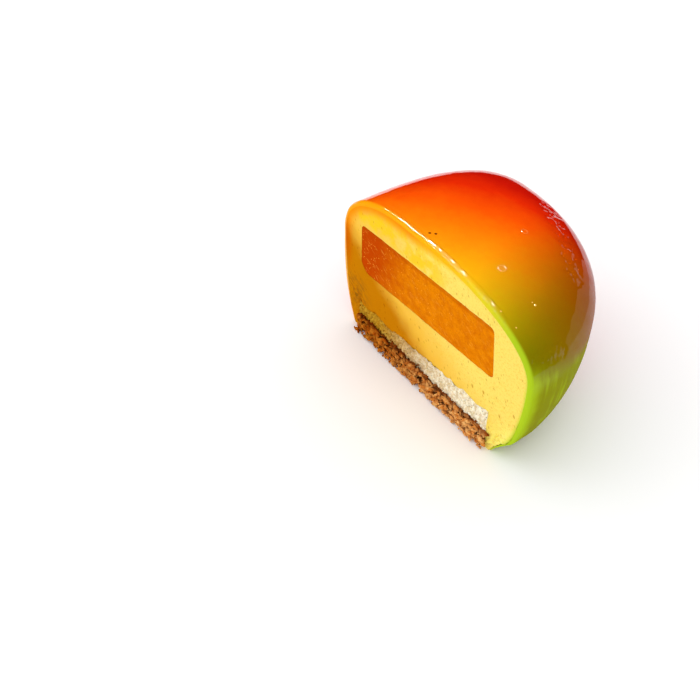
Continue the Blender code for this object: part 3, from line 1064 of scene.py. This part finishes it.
def bead(point):
    """The height of the wavy bead that cutting drew up along the edge of the glaze over the crown."""
    if point.z < WAIST_HEIGHT:
        return 0.0
    middle = BEAD_AT_EDGE + (BEAD_BACK - BEAD_AT_EDGE) * ramp(point.x, *BEAD_DRAWN_BACK)
    middle += BEAD_SWAY * along_edge(point, BEAD_SWAY_LENGTH, 3.0)
    middle += BEAD_WIGGLE * along_edge(point, BEAD_WIGGLE_LENGTH, 5.0)
    ends = ramp(point.x, *BEAD_FAR_END) * ramp(point.x, *BEAD_NEAR_END)
    broken = 0.95 + 0.7 * along_edge(point, BEAD_BREAK_LENGTH, 8.0)
    return BEAD_HEIGHT * ends * broken * math.exp(-(((point.y - CUT_Y - middle) / BEAD_WIDTH) ** 2))


def round_rim(form):
    """Rounds the edge between the cut and the outside of the glaze, and raises the bead behind it."""
    for step in RIM_LOOPS:
        bisect(form, Vector((0.0, CUT_Y + step * MM, 0.0)), Vector((0.0, 1.0, 0.0)), clear=False)
    form.data.update()
    for vert, normal in [(vert, vert.normal.copy()) for vert in form.data.vertices]:
        inward = vert.co.y - CUT_Y
        if inward > (RIM_LOOPS[-1] + 1.0) * MM:
            continue
        rounding = rim_rounding(vert.co)
        across = Vector((vert.co.x - CROWN_X, 0.0, vert.co.z - WAIST_HEIGHT))
        outward = Vector((normal.x, 0.0, normal.z))
        outward = outward.normalized() if outward.length > 0.2 else across.normalized()
        hollow = rounding - math.sqrt(max(0.0, rounding**2 - max(0.0, rounding - inward) ** 2))
        vert.co += outward * (bead(vert.co) - hollow)


def burst_bubbles(piece):
    """Adds the low rings that burst bubbles left, and a few beads of glaze."""
    marks = []
    for middle, facing, radius in BUBBLES:
        bpy.ops.object.select_all(action="DESELECT")
        bpy.ops.mesh.primitive_torus_add(
            major_segments=28,
            minor_segments=8,
            major_radius=radius,
            minor_radius=RING_SHARE * radius,
            location=middle - facing * RING_SUNK,
            rotation=facing.to_track_quat("Z", "Y").to_euler(),
        )
        marks.append(new_piece("bubble"))
    for middle, radius in DROPS:
        bpy.ops.object.select_all(action="DESELECT")
        bpy.ops.mesh.primitive_ico_sphere_add(subdivisions=3, radius=radius, location=middle)
        marks.append(new_piece("drop"))
    for mark in marks:
        bake_place(mark)
    join(piece, marks)


glaze = ovoid_form("mirror_glaze", GLAZE_PANELS, in_glaze=False)
settle_glaze(glaze)
bisect(glaze, Vector((0.0, CUT_Y, 0.0)), Vector((0.0, -1.0, 0.0)), clear=True)
round_rim(glaze)
bisect(glaze, Vector((0.0, 0.0, GLAZE_LIP)), Vector((0.0, 0.0, -1.0)), clear=True)
combine(glaze, "DIFFERENCE", ovoid_form("inside_of_glaze", MOUSSE_PANELS, in_glaze=True))
tuck_near_corner(glaze)
burst_bubbles(glaze)
smooth(glaze, 50)

GLAZE_STOPS = [
    (-40.0, linear(206, 22, 6)),
    (-22.0, linear(230, 42, 4)),
    (-2.0, linear(248, 84, 4)),
    (15.0, linear(252, 122, 6)),
    (27.0, linear(252, 145, 10)),
    (36.0, linear(250, 166, 12)),
    (46.0, linear(246, 182, 16)),
    (56.0, linear(238, 200, 14)),
    (68.0, linear(216, 212, 12)),
    (90.0, linear(176, 208, 24)),
]
CUT_STOPS = [
    (-24.0, linear(251, 164, 14)),
    (2.0, linear(252, 178, 16)),
    (20.0, linear(226, 206, 34)),
    (32.0, linear(172, 202, 34)),
]
BLUSH_START = 33.7
BLUSH_TURN = 1.42
BACK_START = 31.0
BACK_TURN = 1.4
GLAZE_BROWN_AND_SHADE = (0.27, 0.25, 0.16, 1.0)
FLANK_GREEN = linear(166, 190, 22)
FLANK_OLIVE = linear(138, 140, 12)
FAR_OCHRE = linear(232, 176, 80)
BUBBLE_PALE_AND_GLINT = linear(255, 210, 110)
SPECK_BROWN = linear(110, 40, 8)

mirror = Food("mirror_glaze", Roughness=0.5, Specular_IOR_Level=0.0, Coat_IOR=1.36, Coat_Roughness=0.03)
x = mirror.along("X")
y = mirror.along("Y") - CUT_Y / MM
z = mirror.along("Z")
spray = mirror.cloud(9.0 * MM, 3.0) - 0.5
mist = mirror.cloud(0.5 * MM, 1.0) - 0.5
mottle = mirror.cloud(2.2 * MM, 2.0) - 0.5
runs = mirror.cloud(1.0, place=mirror.stretched(0.0, (2.0 * MM, 2.0 * MM, 14 * MM)))
# The sprayed blush: its colours follow one another from the far end and the back to the long end.
behind = (y - BACK_START).math("MAXIMUM", 0.0)
blush = x - BLUSH_TURN * y - BACK_TURN * behind + BLUSH_START + 10.0 * spray + 5.0 * mottle + 4.0 * mist
glaze_colour = mirror.graded(blush, -40.0, 90.0, GLAZE_STOPS)
# The shoulder towards the long end turns brown: partly the glaze's own colour, partly painted shade away from
# the light.
shoulder = (x + 0.35 * y + 4.0 * spray).rise(9.0, 40.0)
glaze_colour = mirror.mix(shoulder, glaze_colour, mirror.mix(1.0, glaze_colour, GLAZE_BROWN_AND_SHADE, "MULTIPLY"))
# The low flank at the long end is green at the cut and olive behind it, with greener runs.
flank_colour = mirror.mix((y + 4.0 * spray).rise(0.6, 4.6), FLANK_GREEN, FLANK_OLIVE)
flank_colour = mirror.mix(runs.rise(0.48, 0.7) * 0.5, flank_colour, FLANK_GREEN)
flank = (z + 0.25 * y + 3.0 * spray).rise(40.0, 33.0) * x.rise(12.0, 30.0)
glaze_colour = mirror.mix(flank, glaze_colour, flank_colour)
for middle, facing, radius in BUBBLES:
    ring = abs(mirror.away(middle) - radius / MM).rise(0.3, 0.1)
    glaze_colour = mirror.mix(ring * 0.12, glaze_colour, BUBBLE_PALE_AND_GLINT)
# Each bead of glaze is painted pale all over: a painted glint.
for middle, radius in DROPS:
    drop = mirror.away(middle).rise(1.6 * radius / MM, radius / MM)
    glaze_colour = mirror.mix(drop, glaze_colour, BUBBLE_PALE_AND_GLINT)
for middle in SPECKS:
    glaze_colour = mirror.mix(mirror.away(middle).rise(0.5, 0.25), glaze_colour, SPECK_BROWN)
# The cut edge has its own colours, and it is less glossy than the outside, as are the low parts.
cut_colour = mirror.graded(x, -40.0, 40.0, CUT_STOPS)
cut_colour = mirror.mix(x.rise(-30.0, -36.0) * z.rise(40.0, 32.0), cut_colour, FAR_OCHRE)
edge_depth = x.rise(-28.0, -36.0) * 1.5 + 1.3
glaze_colour = mirror.mix((y / edge_depth).rise(1.0, 0.15) * 0.9, glaze_colour, cut_colour)
mirror.finish(glaze, glaze_colour, mirror.cloud(1.3 * MM, 2.0), 0.05 * MM)
gloss_start = x.rise(-10.0, 1.0) * 0.55 + 0.1
gloss = z.rise(28.0, 45.0) * (y - gloss_start).rise(0.0, 0.35) * (runs * 0.9 + 0.5) + 0.06
mirror.feed(mirror.shader.inputs["Coat Weight"], gloss)

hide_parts("glaze")
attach(glaze, "root")
